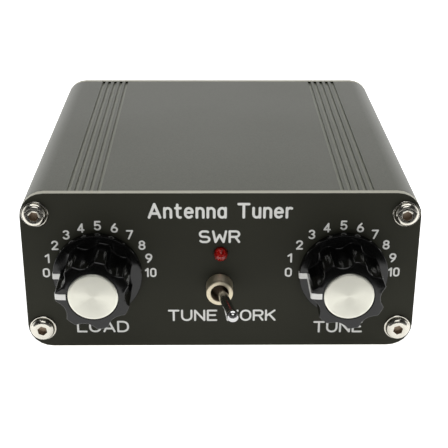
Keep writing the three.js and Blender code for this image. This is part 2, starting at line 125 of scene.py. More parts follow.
# Black or green solder mask over glass cloth: satin, with the weave just showing in the film.
# The weave is drawn at 0.9 mm, coarser than the cloth's 0.5 mm, so that it shows.
def solderMask(name, dark, light, rough, shine):
    finish, tree, shader, place = newFinish(name, {"IOR": 1.5, "Specular IOR Level": shine})
    drift = addNode(tree, "ShaderNodeTexNoise", {"Vector": place, "Scale": perMetre(mask["drift"]),
                                                "Detail": 3.0})
    colour = mixColours(tree, drift.outputs[0], linear(dark), linear(light))
    tree.links.new(colour, shader.inputs["Base Color"])
    cloud = addNode(tree, "ShaderNodeTexNoise", {"Vector": place, "Scale": perMetre(mask["cloud"]),
                                                "Detail": 2.0})
    uneven = spread(tree, cloud.outputs[0], rough - mask["uneven"], rough + mask["uneven"])
    tree.links.new(uneven, shader.inputs["Roughness"])
    heights = []
    for axis in ("X", "Y", "Z"):
        wave = addNode(tree, "ShaderNodeTexWave", {"Vector": place, "Scale": wavesPerMetre(mask["weave"])},
                       bands_direction=axis)
        heights.append(wave.outputs["Fac"])
    across = addNode(tree, "ShaderNodeMath", {0: heights[0], 1: heights[1]}, operation="ADD")
    height = addNode(tree, "ShaderNodeMath", {0: across.outputs[0], 1: heights[2]}, operation="ADD")
    bumpFrom(tree, shader, height.outputs[0], mask["depth"])
    return finish


# The sawn edge of glass-epoxy board: pale cream with the plies as faint lines.
def boardEdge():
    finish, tree, shader, place = newFinish("glassEpoxyEdge", {"IOR": 1.52, "Roughness": 0.6})
    plies = addNode(tree, "ShaderNodeTexWave",
                    {"Vector": place, "Scale": wavesPerMetre(0.25), "Distortion": 1.2,
                     "Detail Scale": 20.0}, bands_direction="Y")
    colour = mixColours(tree, plies.outputs["Fac"], linear("#aaa898"), linear("#c0beae"))
    tree.links.new(colour, shader.inputs["Base Color"])
    bumpFrom(tree, shader, plies.outputs["Fac"], 0.008)
    return finish


# Spun aluminium: fine rings about the disc's centre, which pull its shine into a bow-tie.
def spunAluminium(name, centre):
    look = {"colour": "#efeee2", "rough": 0.48, "pitch": 0.3, "depth": 0.003, "cloud": 1.5}
    finish, tree, shader, place = newFinish(name, {
        "Metallic": 1.0, "Anisotropic": 0.6, "Anisotropic Rotation": 0.25,
        "Base Color": linear(look["colour"])})
    centred = addNode(tree, "ShaderNodeMapping", {"Vector": place, "Location": -Vector(centre)})
    rings = addNode(tree, "ShaderNodeTexWave",
                    {"Vector": centred.outputs[0], "Scale": wavesPerMetre(look["pitch"]),
                     "Distortion": 0.6, "Detail": 2.0, "Detail Scale": 300.0},
                    wave_type="RINGS", rings_direction="Y")
    cloud = addNode(tree, "ShaderNodeTexNoise", {"Vector": place, "Scale": perMetre(look["cloud"])})
    rough = spread(tree, cloud.outputs[0], look["rough"] * 0.85, look["rough"] * 1.15)
    tree.links.new(rough, shader.inputs["Roughness"])
    tangent = addNode(tree, "ShaderNodeTangent", direction_type="RADIAL", axis="Y")
    tree.links.new(tangent.outputs[0], shader.inputs["Tangent"])
    bumpFrom(tree, shader, rings.outputs["Fac"], look["depth"])
    return finish


finishes = {
    # sand-blasted, dark anodised aluminium: a dull metal with a fine even grit
    "anodised": grainyFinish("anodisedAluminium", {"Metallic": 0.75},
        dark="#3d3e37", light="#45463e", fleck="#626358", patch=30, grain=0.3,
        depth=0.01, smooth=0.42, rough=0.5),
    # the groove walls: the same anodising painted lighter, a painted highlight standing in for the soft
    # shine along the grooves
    "grooveHighlight": grainyFinish("anodisedGrooveHighlight", {"Metallic": 0.6},
        dark="#68695e", light="#727368", fleck="#7c7d71", patch=30, grain=0.35,
        depth=0.006, smooth=0.42, rough=0.5),
    # screened black mask over the front and rear boards
    "panel": solderMask("blackSolderMask", "#2f2f27", "#35352d", 0.46, 0.08),
    "edge": boardEdge(),
    # screen-printed white ink: dense, slightly rough
    "ink": grainyFinish("whiteInk", {"IOR": 1.48},
        dark="#dededa", light="#eaeae6", patch=2, grain=0.2, depth=0.004, smooth=0.45, rough=0.6),
    # moulded phenolic: deep black with a high polish
    "phenolic": grainyFinish("blackPhenolic", {"IOR": 1.46},
        dark="#060606", light="#0a0a09", patch=4, grain=0.6, depth=0.001, smooth=0.09, rough=0.15),
    # satin nickel plate: warm white metal with a soft shine
    "nickel": grainyFinish("nickelPlate", {"Metallic": 1.0},
        dark="#d3c8ad", light="#e4dac2", patch=1.5, grain=0.4, depth=0.003, smooth=0.38, rough=0.48),
    # polished chrome on the lever
    "chrome": grainyFinish("polishedChrome", {"Metallic": 1.0},
        dark="#bcbcbd", light="#cacac9", patch=1.5, grain=0.4, depth=0.001, smooth=0.12, rough=0.2),
    # stainless steel screws, tumbled
    "steel": grainyFinish("tumbledSteel", {"Metallic": 1.0},
        dark="#c4c0b4", light="#dad7cd", patch=1.2, grain=0.25, depth=0.004, smooth=0.14, rough=0.26),
    # the punched floor of a screw's socket and the inside of the switch's bushing: steel darkened as painted
    # shade in the recess, with some oil
    "socket": grainyFinish("oilAndPaintedShadeSteel", {"Metallic": 0.5},
        dark="#84735f", light="#a38f7a", patch=0.8, grain=0.2, depth=0.01, smooth=0.35, rough=0.55),
    # turned brass, bright with fine tool marks
    "brass": grainyFinish("machinedBrass", {"Metallic": 1.0},
        dark="#a9853f", light="#c29b50", patch=2, grain=0.2, depth=0.006, smooth=0.22, rough=0.34),
    # thin gold flash on the centre contacts
    "gold": grainyFinish("goldFlash", {"Metallic": 1.0},
        dark="#c99d42", light="#dcb258", patch=1, grain=0.2, depth=0.002, smooth=0.15, rough=0.25),
    # rolled aluminium of the capacitor plates
    "sheet": grainyFinish("rolledAluminiumSheet", {"Metallic": 1.0},
        dark="#a9abad", light="#c0c2c3", patch=3, grain=0.3, depth=0.005, smooth=0.25, rough=0.4),
    # moulded nylon, slightly translucent
    "cream": grainyFinish("creamNylon", {"IOR": 1.53, "Subsurface Weight": 0.1,
                                         "Subsurface Radius": (0.001, 0.0008, 0.0006)},
        dark="#d2cab4", light="#dfd9c6", patch=5, grain=0.4, depth=0.006, smooth=0.4, rough=0.55),
    # plastic from a spark-eroded mould: even and dull
    "blackPlastic": grainyFinish("sparkedBlackPlastic", {"IOR": 1.5},
        dark="#161617", light="#1d1d1e", patch=6, grain=0.3, depth=0.012, smooth=0.45, rough=0.6),
    # glossy moulded plastic
    "redPlastic": grainyFinish("mouldedRedPlastic", {"IOR": 1.5},
        dark="#8d1411", light="#a31a15", patch=6, grain=0.5, depth=0.005, smooth=0.2, rough=0.32),
    # clear moulded styrene with faint flow marks
    "clear": grainyFinish("clearPolystyrene", {"IOR": 1.59, "Transmission Weight": 0.85},
        dark="#dfe4e4", light="#eef1f1", patch=8, grain=0.8, depth=0.002, smooth=0.08, rough=0.16),
    # red-tinted cast epoxy of the lamp, deep and glassy
    "lamp": grainyFinish("redEpoxy", {"IOR": 1.54, "Transmission Weight": 0.6},
        dark="#b3100c", light="#cc180e", patch=2, grain=0.6, depth=0.001, smooth=0.04, rough=0.08),
    # powder paint over pressed iron powder
    "core": grainyFinish("paintedIronPowder", {"IOR": 1.5},
        dark="#8f2418", light="#a3301f", fleck="#7c2016", patch=4, grain=0.5,
        depth=0.03, smooth=0.45, rough=0.6),
    # sintered ferrite, dark and close-grained
    "ferrite": grainyFinish("ferrite", {"IOR": 2.2},
        dark="#2c2c2e", light="#3a3a3c", patch=2, grain=0.3, depth=0.02, smooth=0.4, rough=0.55),
    # drawn copper under a clear enamel coat
    "wire": grainyFinish("enamelledCopper", {"Metallic": 0.8, "Coat Weight": 0.6, "Coat Roughness": 0.1},
        dark="#9c4c22", light="#b65f2e", patch=1, grain=0.3, depth=0.003, smooth=0.22, rough=0.32),
    # copper dipped in solder, a little wavy
    "tinned": grainyFinish("tinnedCopper", {"Metallic": 1.0},
        dark="#b4b4b2", light="#cacac8", patch=1, grain=0.3, depth=0.006, smooth=0.25, rough=0.4),
    # soft vinyl sleeve of the hook-up wires
    "vinyl": grainyFinish("blackVinyl", {"IOR": 1.52},
        dark="#1a1a1b", light="#232324", patch=2, grain=0.3, depth=0.004, smooth=0.32, rough=0.45),
    # dipped lacquer of the resistors
    "lacquer": grainyFinish("tanLacquer", {"IOR": 1.5},
        dark="#b08a5c", light="#c39c6d", patch=1.5, grain=0.3, depth=0.01, smooth=0.3, rough=0.42),
    # the drawn glass of the diode
    "glass": grainyFinish("orangeGlass", {"IOR": 1.52, "Transmission Weight": 0.5},
        dark="#b5552a", light="#c7683a", patch=1.5, grain=0.4, depth=0.001, smooth=0.05, rough=0.1),
    # turned white fluoroplastic
    "fluoroplastic": grainyFinish("whiteFluoroplastic", {"IOR": 1.38},
        dark="#e0e0dc", light="#ececea", patch=2, grain=0.3, depth=0.006, smooth=0.4, rough=0.5),
    # screened green mask over the main board
    "boardMask": solderMask("greenSolderMask", "#1b4f2e", "#256239", 0.34, 0.5),
}
print("finishes made")


def deselectAll():
    bpy.ops.object.select_all(action="DESELECT")


def takeUp(piece):
    deselectAll()
    piece.select_set(True)
    bpy.context.view_layer.objects.active = piece
    return piece


def startPiece(name):
    piece = bpy.context.active_object
    piece.name = name
    piece.data.name = name
    return piece


def applyModifier(piece, kind, **settings):
    takeUp(piece)
    modifier = piece.modifiers.new(kind.title(), kind)
    for name, value in settings.items():
        setattr(modifier, name, value)
    bpy.ops.object.modifier_apply(modifier=modifier.name)


def editAll(piece, mode="FACE"):
    takeUp(piece)
    bpy.ops.object.mode_set(mode="EDIT")
    bpy.ops.mesh.select_mode(type=mode)
    bpy.ops.mesh.select_all(action="SELECT")


def closeEdit():
    bpy.ops.object.mode_set(mode="OBJECT")


def mergeDoubles(piece, outwards=True):
    editAll(piece, "VERT")
    bpy.ops.mesh.remove_doubles(threshold=0.002 * mm)
    bpy.ops.mesh.dissolve_degenerate(threshold=0.001 * mm)
    if outwards:
        bpy.ops.mesh.select_all(action="SELECT")
        bpy.ops.mesh.normals_make_consistent(inside=False)
    closeEdit()


def placeIn(piece):
    takeUp(piece)
    bpy.ops.object.transform_apply(location=True, rotation=True, scale=True)


# Gives a finished piece its finish and body. Smooth up to the angle, in degrees.
def settle(piece, finish, body, replaced=(), smooth=35):
    placeIn(piece)
    bpy.ops.object.shade_smooth_by_angle(angle=math.radians(smooth))
    applyModifier(piece, "WEIGHTED_NORMAL", keep_sharp=True)
    piece.data.materials.clear()
    piece.data.materials.append(finishes[finish])
    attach(piece, body)
    if replaced:
        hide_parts(*replaced)
    return piece


# Gives the faces that pass the test a second finish.
def secondFinish(piece, finish, test):
    piece.data.materials.append(finishes[finish])
    for face in piece.data.polygons:
        if test(face):
            face.material_index = 1


def bevelEdges(piece, width, segments=2, angle=30):
    applyModifier(piece, "BEVEL", width=width * mm, segments=segments, limit_method="ANGLE",
                  angle_limit=math.radians(angle), harden_normals=False)


def pieceName(node):
    first, *rest = node.split("_")
    return first + "".join(word.title() for word in rest)


# A merged copy of a CAD node, ready to be bevelled.
def copyNode(node):
    source = nodes[node]
    name = pieceName(node)
    piece = source.copy()
    piece.data = source.data.copy()
    bpy.context.scene.collection.objects.link(piece)
    piece.name = name
    piece.data.name = name
    piece.data.materials.clear()
    for key in list(piece.keys()):
        del piece[key]
    editAll(piece, "VERT")
    bpy.ops.mesh.remove_doubles(threshold=0.001 * mm)
    bpy.ops.mesh.dissolve_limited(angle_limit=math.radians(0.5))
    closeEdit()
    return piece


# Copies of CAD nodes with their edges eased. Each row is node, finish, slot, body, width.
def easeNodes(rows):
    for node, finish, slot, body, width in rows:
        piece = copyNode(node)
        bevelEdges(piece, width, 1, 50)
        settle(piece, finish, body, [node])


def meshFrom(name, points, edges, faces):
    bpy.ops.mesh.primitive_plane_add(size=mm)
    piece = startPiece(name)
    piece.data.clear_geometry()
    piece.data.from_pydata(points, edges, faces)
    piece.location = (0, 0, 0)
    return piece


# A profile of (radius, along) in millimetres, spun about an axis through the centre.
def spinProfile(name, profile, centre, axis="Y", steps=48):
    turn = {"Y": Matrix.Identity(3), "Z": Matrix(((1, 0, 0), (0, 0, -1), (0, 1, 0))),
            "X": Matrix(((0, 1, 0), (1, 0, 0), (0, 0, 1)))}[axis]
    points = [Vector(centre) + turn @ Vector((radius, along, 0)) * mm for radius, along in profile]
    piece = meshFrom(name, points, [(i, i + 1) for i in range(len(points) - 1)], [])
    editAll(piece, "EDGE")
    bpy.ops.mesh.spin(steps=steps, angle=2 * math.pi, center=centre, axis=turn @ Vector((0, 1, 0)))
    closeEdit()
    mergeDoubles(piece)
    return piece


# A piece turned from a profile in place of a CAD node.
def turnNode(node, profile, centre, finish, body, smooth=35, steps=48):
    piece = spinProfile(pieceName(node), profile, centre, steps=steps)
    return settle(piece, finish, body, [node], smooth)


def addCylinder(name, radius, length, middle, axis="Y", sides=48):
    turns = {"Y": (math.pi / 2, 0, 0), "Z": (0, 0, 0), "X": (0, math.pi / 2, 0)}
    bpy.ops.mesh.primitive_cylinder_add(vertices=sides, radius=radius * mm, depth=length * mm,
                                        location=middle, rotation=turns[axis])
    piece = startPiece(name)
    placeIn(piece)
    return piece


def cutWith(piece, *cutters, operation="DIFFERENCE"):
    for cutter in cutters:
        applyModifier(piece, "BOOLEAN", operation=operation, object=cutter, solver="EXACT")
        bpy.data.objects.remove(cutter)


def joinPieces(pieces, name):
    deselectAll()
    for piece in pieces:
        piece.select_set(True)
    bpy.context.view_layer.objects.active = pieces[0]
    bpy.ops.object.join()
    return startPiece(name)


def duplicate(piece, name):
    copy = piece.copy()
    copy.data = piece.data.copy()
    bpy.context.scene.collection.objects.link(copy)
    copy.name = name
    copy.data.name = name
    return copy


def meshFromCurve(name, curve):
    piece = bpy.data.objects.new(name, curve)
    bpy.context.scene.collection.objects.link(piece)
    takeUp(piece)
    bpy.ops.object.convert(target="MESH")
    return startPiece(name)


# A round wire along points in metres.
def addWire(name, points, radius, smooth=True, sides=3):
    curve = bpy.data.curves.new(name, "CURVE")
    curve.dimensions = "3D"
    spline = curve.splines.new("NURBS" if smooth else "POLY")
    spline.points.add(len(points) - 1)
    for point, place in zip(spline.points, points):
        point.co = (*place, 1)
    if smooth:
        spline.use_endpoint_u = True
        spline.order_u = 3
    curve.bevel_depth = radius * mm
    curve.bevel_resolution = sides
    curve.use_fill_caps = True
    curve.resolution_u = 6
    return meshFromCurve(name, curve)


def addLead(name, points, radius, finish="tinned", smooth=False):
    settle(addWire(name, points, radius, smooth), finish, "case")


def boxOf(node):
    low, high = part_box(node)
    return Vector(low), Vector(high), (Vector(low) + Vector(high)) / 2


camera = {"place": (-2.2, -251.0, 123.5), "lens": 83.2, "pan": 0.80, "tilt": 24.10, "roll": 0.24}


def addCamera():
    data = bpy.data.cameras.new("camera")
    data.lens = camera["lens"]
    data.sensor_width = 36
    data.clip_start = 0.01
    eye = bpy.data.objects.new("camera", data)
    pan = Matrix.Rotation(-math.radians(camera["pan"]), 4, "Z")
    tilt = Matrix.Rotation(math.radians(90 - camera["tilt"]), 4, "X")
    roll = Matrix.Rotation(math.radians(camera["roll"]), 4, "Z")
    eye.matrix_world = Matrix.Translation(Vector(camera["place"]) * mm) @ pan @ tilt @ roll
    bpy.context.scene.collection.objects.link(eye)
    bpy.context.scene.camera = eye


addCamera()

# The groove sizes bound the faces that get the grooves' lighter finish, a painted highlight.
case = {"edge": 0.2, "grooveFrom": 25, "grooveTo": 35, "grooveTop": 0.03, "grooveDeep": 0.7,
        "panelEdge": 0.06, "facing": 0.35}


def addCase():
    for half in ("top", "bottom"):
        node = f"{half}_shell"
        shell = copyNode(node)
        bevelEdges(shell, case["edge"], 3, 40)
        settle(shell, "anodised", "case", [node], 30)
        low, high = boxOf(node)[:2]
        outside = high.z if half == "top" else low.z
        # the grooves' faces take the lighter finish: a painted highlight along the grooves
        secondFinish(shell, "grooveHighlight", lambda face: case["grooveFrom"] < abs(face.center.x) / mm
                     < case["grooveTo"] and case["grooveTop"] < abs(face.center.z - outside) / mm
                     < case["grooveDeep"])
    for end in ("front", "rear"):
        node = f"{end}_panel"
        panel = copyNode(node)
        bevelEdges(panel, case["panelEdge"], 2, 40)
        settle(panel, "panel", "case", [node], 30)
        secondFinish(panel, "edge", lambda face: abs(face.normal.y) < case["facing"])


addCase()
print("case made")

screw = {"head": 3.0, "flange": 0.4, "dome": 2.72, "height": 1.65, "flat": 1.7, "socket": 1.155,
         "socketDepth": 1.05, "shank": 1.35, "length": 8, "threads": 12, "pitch": 0.5,
         "threadFrom": 1.6, "threadDeep": 0.2, "rim": 0.08, "ease": 0.05, "stagger": 0.4}


def addScrews():
    profile = [(0, -screw["height"]), (screw["flat"], -screw["height"])]
    rise = screw["height"] - screw["flange"]
    steps = 8
    for i in range(1, steps + 1):
        turn = math.radians(90 * i / steps)
        profile.append((screw["flat"] + (screw["dome"] - screw["flat"]) * math.sin(turn),
                        -screw["flange"] - rise * math.cos(turn)))
    rim = screw["rim"]
    profile += [(screw["head"] - rim, -screw["flange"]), (screw["head"], -screw["flange"] + rim),
                (screw["head"], 0), (screw["shank"], 0)]
    for i in range(screw["threads"]):
        y = screw["threadFrom"] + i * screw["pitch"]
        profile += [(screw["shank"], y), (screw["shank"] - screw["threadDeep"], y + screw["pitch"] / 2)]
    profile += [(screw["shank"] - 0.3, screw["length"]), (0, screw["length"])]
    first = spinProfile("panelScrew", profile, (0, 0, 0), steps=40)
    socket = addCylinder("socket", screw["socket"], screw["socketDepth"] * 2,
                         (0, -screw["height"] * mm, 0), sides=6)
    cutWith(first, socket)
    bevelEdges(first, screw["ease"], 2, 55)
    settle(first, "steel", "case")
    floorY = (screw["socketDepth"] - screw["height"] - 0.05) * mm
    inside = (screw["socket"] + 0.02) * mm
    # the socket's walls and floor get the darker steel: painted shade in the recess, with some oil
    secondFinish(first, "socket", lambda face: math.hypot(face.center.x, face.center.z) < inside
                 and -screw["height"] * mm + 0.06 * mm < face.center.y < floorY + 0.2 * mm)
    for end, turn in (("front", 0), ("rear", math.pi)):
        face = panelFace if end == "front" else rearFace
        for level in ("bottom", "top"):
            for side in ("left", "right"):
                node = f"{end}_screw_{level}_{side}"
                middle = boxOf(node)[2]
                piece = duplicate(first, f"{end}Screw{level.title()}{side.title()}")
                piece.matrix_world = (Matrix.Translation((middle.x, face, middle.z))
                                      @ Matrix.Rotation(turn, 4, "Z")
                                      @ Matrix.Rotation(screw["stagger"] * len(level + side), 4, "Y"))
                placeIn(piece)
                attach(piece, "case")
                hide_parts(node)
    bpy.data.objects.remove(first)


addScrews()
print("screws made")

# Along is measured from the panel's face, outwards as negative, and turn is the lobes' in degrees.
knob = {"lobes": 7, "lobe": 8.1, "skirt": 9.9, "skirtFront": -2.15, "skirtBack": -0.6, "scallop": 3.2,
        "scallopAt": 10, "face": -11.9, "steps": 48, "flat": 6.8, "slope": 0.18, "corner": 0.5,
        "rim": 0.28, "root": 0.25, "disc": 5.4, "discFront": -12.05, "discBack": -11.32,
        "recessFloor": -11.3, "gap": 0.22, "pointer": 1.35, "paint": 0.09, "bore": 3.85,
        "boreLength": 10.7, "boreMiddle": -4.35, "hollow": (4.7, 6.0), "hollowEnd": -8.5,
        "screwHole": 1.65, "holeLength": 6.7, "holeMiddle": 6.65, "screwAlong": -5,
        "turn": {"load": 0, "tune": -3}}


def along(y):
    return Vector((0, y * mm, 0))


# The lobed outline's points, moved outwards by a distance. All in millimetres.
def lobedRing(turn, outwards):
    count = knob["lobes"] * knob["steps"]
    far = knob["scallopAt"]
    outline = []
    for i in range(count):
        angle = math.radians(180 + turn) + 2 * math.pi * i / count
        off = ((i / knob["steps"]) % 1 - 0.5) * 2 * math.pi / knob["lobes"]
        inside = knob["scallop"] ** 2 - (far * math.sin(off)) ** 2
        hollow = far * math.cos(off) - math.sqrt(inside) if inside > 0 else far
        gap = max(knob["corner"] - abs(hollow - knob["lobe"]), 0) / knob["corner"]
        radius = min(hollow, knob["lobe"]) - gap * gap * knob["corner"] / 4
        outline.append(Vector((radius * math.cos(angle), radius * math.sin(angle))))
    moved = []
    for i, point in enumerate(outline):
        way = outline[(i + 1) % count] - outline[i - 1]
        moved.append(point + Vector((way.y, -way.x)).normalized() * outwards)
    return moved


def circleRing(turn, radius):
    count = knob["lobes"] * knob["steps"]
    turns = [math.radians(180 + turn) + 2 * math.pi * i / count for i in range(count)]
    return [Vector((radius * math.cos(a), radius * math.sin(a))) for a in turns]


# The body and skirt are one moulding: rings of equal count from the face back to the skirt.
def mouldKnob(name):
    turn = knob["turn"][name]
    rim, root, front, skirt = knob["rim"], knob["root"], knob["skirtFront"], knob["skirt"]
    fillet = [math.radians(90 * i / 5) for i in range(6)]
    faceEdge = lobedRing(turn, -rim)
    fall = [knob["face"] + max(point.length - knob["flat"], 0) * knob["slope"] for point in faceEdge]
    rings = [[(point, knob["face"]) for point in circleRing(turn, knob["flat"] - 0.7)]]
    for a in fillet:
        depth = rim * (1 - math.cos(a))
        ring = lobedRing(turn, rim * (math.sin(a) - 1))
        rings.append([(point, y + depth) for point, y in zip(ring, fall)])
    for a in fillet:
        y = front - root + root * math.sin(a)
        rings.append([(point, y) for point in lobedRing(turn, root * (1 - math.cos(a)))])
    for radius, y in ((skirt - 0.3, front), (skirt - 0.12, front + 0.05), (skirt - 0.03, front + 0.15),
                      (skirt, front + 0.3), (skirt, knob["skirtBack"] - 0.15),
                      (skirt - 0.1, knob["skirtBack"])):
        rings.append([(point, y) for point in circleRing(turn, radius)])
    count = len(rings[0])
    points = [Vector((point.x, y, point.y)) * mm for ring in rings for point, y in ring]
    faces = [(r * count + i, r * count + (i + 1) % count, (r + 1) * count + (i + 1) % count,
              (r + 1) * count + i) for r in range(len(rings) - 1) for i in range(count)]
    faces += [tuple(range(count)), tuple(range((len(rings) - 1) * count, len(rings) * count))]
    body = meshFrom(f"{name}Knob", points, [], faces)
    mergeDoubles(body)
    return body


def addKnob(name):
    axis = boxOf(f"{name}_knob")[2]
    axis.y = panelFace
    body = mouldKnob(name)
    recess = addCylinder("recess", knob["disc"] + knob["gap"], 2, along(knob["recessFloor"] - 1),
                         sides=96)
    inner, outer = knob["hollow"]
    end = knob["hollowEnd"]
    hollow = spinProfile("hollow", [(inner, 0.4), (inner, end), (outer, end), (outer, 0.4),
                                    (inner, 0.4)], (0, 0, 0))
    bore = addCylinder("bore", knob["bore"], knob["boreLength"], along(knob["boreMiddle"]))
    angle = math.radians(180 + 1.5 * 360 / knob["lobes"])
    out = Vector((math.cos(angle), 0, math.sin(angle)))
    hole = addCylinder("hole", knob["screwHole"], knob["holeLength"], (0, 0, 0), axis="Z", sides=32)
    hole.matrix_world = (Matrix.Translation(along(knob["screwAlong"]) + out * knob["holeMiddle"] * mm)
                         @ out.to_track_quat("Z", "Y").to_matrix().to_4x4())
    placeIn(hole)
    cutWith(body, recess, hollow, bore, hole)
    mergeDoubles(body, False)
    body.location = axis
    settle(body, "phenolic", f"{name}_control", [f"{name}_knob"], 28)
    print(name, "knob has", len(body.data.polygons), "faces")
    front, back, edge = knob["discFront"], knob["discBack"], knob["disc"]
    finishes[f"{name}Disc"] = spunAluminium(f"{name}SpunAluminium", axis)
    turnNode(f"{name}_knob_disc", [
        (0, front + 0.02), (2.5, front + 0.01), (4.9, front), (5.2, front + 0.04), (5.36, front + 0.16),
        (edge, front + 0.35), (edge, back), (0, back)],
        axis, f"{name}Disc", f"{name}_control", steps=96)
    addPointer(name, axis)
    addKnobInside(name, axis)


# The painted line follows the skirt, the lobe's side, the shoulder and the face to the disc.
def addPointer(name, axis):
    route = [(9.95, -0.9), (9.95, -1.85), (9.93, -1.98), (9.83, -2.12), (9.62, -2.2), (8.45, -2.2),
             (8.2, -2.3), (8.15, -2.5), (8.15, -11.3), (8.1, -11.52), (7.98, -11.66), (7.8, -11.75),
             (6.8, -11.95), (5.78, -11.95)]
    half = knob["pointer"] / 2
    points = []
    for radius, y in route:
        for side in (-half, half):
            points.append(Vector((-radius, y, side)) * mm)
    strip = meshFrom(f"{name}Pointer", points, [],
                     [(2 * i, 2 * i + 1, 2 * i + 3, 2 * i + 2) for i in range(len(route) - 1)])
    applyModifier(strip, "SOLIDIFY", thickness=knob["paint"] * mm, offset=0)
    bevelEdges(strip, 0.02, 1, 50)
    strip.location = axis
    settle(strip, "ink", f"{name}_control")


def addKnobInside(name, axis):
    control = f"{name}_control"
    turnNode(f"{name}_knob_insert", [
        (3.1, -0.9), (3.6, -0.9), (3.75, -1.05), (3.75, -9.25), (3.6, -9.4), (3.1, -9.4), (3.1, -0.9)],
        axis, "brass", control)
    turnNode(f"{name}_shaft", [(0, -9.0), (2.6, -9.0), (3.0, -8.6), (3.0, 3.6), (0, 3.6)],
             axis, "brass", control)
    easeNodes(((f"{name}_set_screw", "steel", "stainless_steel", control, 0.05),
               (f"{name}_rotor", "sheet", "plate_aluminium", control, 0.05),
               (f"{name}_stator", "sheet", "plate_aluminium", "case", 0.05),
               (f"{name}_capacitor_base", "cream", "cream_plastic", "case", 0.15),
               (f"{name}_capacitor_cover", "clear", "clear_plastic", "case", 0.12)))


capacitorScrew = {"apart": 6.2, "slot": 0.55, "slotDepth": 0.4, "top": -0.3}


# The low heads of the two screws that hold each capacitor are hidden by the knob's skirt.
def addCapacitorScrews(name):
    middle = boxOf(f"{name}_shaft")[2]
    for side, title in ((-1, "Left"), (1, "Right")):
        place = (middle.x + side * capacitorScrew["apart"] * mm, panelFace, middle.z)
        head = spinProfile(f"{name}CapacitorScrew{title}", [
            (0, -0.3), (1.6, -0.3), (1.85, -0.2), (1.9, -0.05), (1.9, 0.02), (0, 0.02)], place, steps=32)
        cutWith(head, addCylinder("square", capacitorScrew["slot"], capacitorScrew["slotDepth"],
                                  Vector(place) + along(capacitorScrew["top"]), sides=4))
        settle(head, "steel", "case")


hookUp = {"radius": 0.55, "apart": 5, "above": 5, "sunk": 0.3, "straight": 1.5, "out": 4, "bow": 5,
          "drop": 5, "aside": 1}


# Insulated wires run from the back of each capacitor's cover down to the board.
def addHookUpWires(name):
    high, middle = boxOf(f"{name}_capacitor_cover")[1:]
    sunk, out = hookUp["sunk"] * mm, high.y + hookUp["out"] * mm
    drop = hookUp["drop"] * mm
    top = middle.z + hookUp["above"] * mm
    for side, title in ((-1, "Left"), (1, "Right")):
        x = middle.x + side * hookUp["apart"] * mm
        route = [(x, high.y - sunk, top), (x, high.y + hookUp["straight"] * mm, top), (x, out, top),
                 (x + side * hookUp["aside"] * mm, high.y + hookUp["bow"] * mm, top - drop),
                 (x, out, boardTop + drop), (x, out, boardTop - sunk)]
        addLead(f"{name}HookUpWire{title}", route, hookUp["radius"], "vinyl", True)


for name in ("load", "tune"):
    addKnob(name)
    addCapacitorScrews(name)
    addHookUpWires(name)
print("knobs made")

ink = {"height": 0.03}


def arc(x, y, radiusX, radiusY, start, end, steps=10):
    turn = [math.radians(start + (end - start) * i / steps) for i in range(steps + 1)]
    return [(x + radiusX * math.cos(a), y + radiusY * math.sin(a)) for a in turn]


# Each glyph is a list of strokes in a cell one unit high. Width is the advance without the gap.
def capitalGlyphs():
    bowl = arc(0.5, 0.74, 0.26, 0.26, 90, -90)
    return {
        "A": (0.82, [[(0, 0), (0.41, 1), (0.82, 0)], [(0.15, 0.3), (0.67, 0.3)]]),
        "D": (0.78, [[(0, 0), (0, 1), (0.36, 1)] + arc(0.36, 0.58, 0.42, 0.42, 90, 0)
                     + arc(0.36, 0.42, 0.42, 0.42, 0, -90) + [(0, 0)]]),
        "E": (0.7, [[(0.7, 1), (0, 1), (0, 0), (0.7, 0)], [(0, 0.52), (0.6, 0.52)]]),
        "K": (0.76, [[(0, 0), (0, 1)], [(0.74, 1), (0, 0.4)], [(0.27, 0.62), (0.76, 0)]]),
        "L": (0.66, [[(0, 1), (0, 0), (0.66, 0)]]),
        "N": (0.76, [[(0, 0), (0, 1), (0.76, 0), (0.76, 1)]]),
        "O": (0.82, [arc(0.41, 0.59, 0.41, 0.41, 0, 180)
                     + arc(0.41, 0.41, 0.41, 0.41, 180, 360) + [(0.82, 0.59)]]),
        "R": (0.76, [[(0, 0), (0, 1), (0.5, 1)] + bowl + [(0, 0.48)], [(0.46, 0.48), (0.76, 0)]]),
        "S": (0.78, [arc(0.5, 0.745, 0.26, 0.255, 50, 90, 4)
                     + arc(0.28, 0.745, 0.26, 0.255, 90, 270)
                     + arc(0.5, 0.245, 0.27, 0.245, 90, -90)
                     + arc(0.28, 0.245, 0.27, 0.245, 270, 215, 5)]),
        "T": (0.78, [[(0, 1), (0.78, 1)], [(0.39, 1), (0.39, 0)]]),
        "U": (0.78, [[(0, 1)] + arc(0.39, 0.39, 0.39, 0.39, 180, 360) + [(0.78, 1)]]),
        "W": (1.04, [[(0, 1), (0.2, 0), (0.52, 0.66), (0.84, 0), (1.04, 1)]]),
    }


def smallGlyphs():
    rise = 0.7
    return {
        "a": (0.5, [[(0.5, rise), (0.5, 0)], arc(0.25, 0.45, 0.25, 0.25, 0, 180)
                    + arc(0.25, 0.25, 0.25, 0.25, 180, 360)]),
        "e": (0.52, [[(0.01, 0.37), (0.52, 0.37)] + arc(0.26, 0.43, 0.26, 0.27, 0, 180)
                     + arc(0.26, 0.26, 0.26, 0.26, 180, 320)]),
        "n": (0.48, [[(0, 0), (0, rise)], arc(0.24, 0.46, 0.24, 0.24, 180, 0) + [(0.48, 0)]]),
        "r": (0.36, [[(0, 0), (0, rise)], arc(0.24, 0.46, 0.24, 0.24, 180, 62, 7)]),
        "t": (0.4, [[(0.14, 0.95)] + arc(0.34, 0.2, 0.2, 0.2, 180, 280, 7),
                    [(0, rise), (0.38, rise)]]),
        "u": (0.48, [[(0, rise)] + arc(0.24, 0.24, 0.24, 0.24, 180, 360), [(0.48, 0), (0.48, rise)]]),
        " ": (0.3, []),
    }


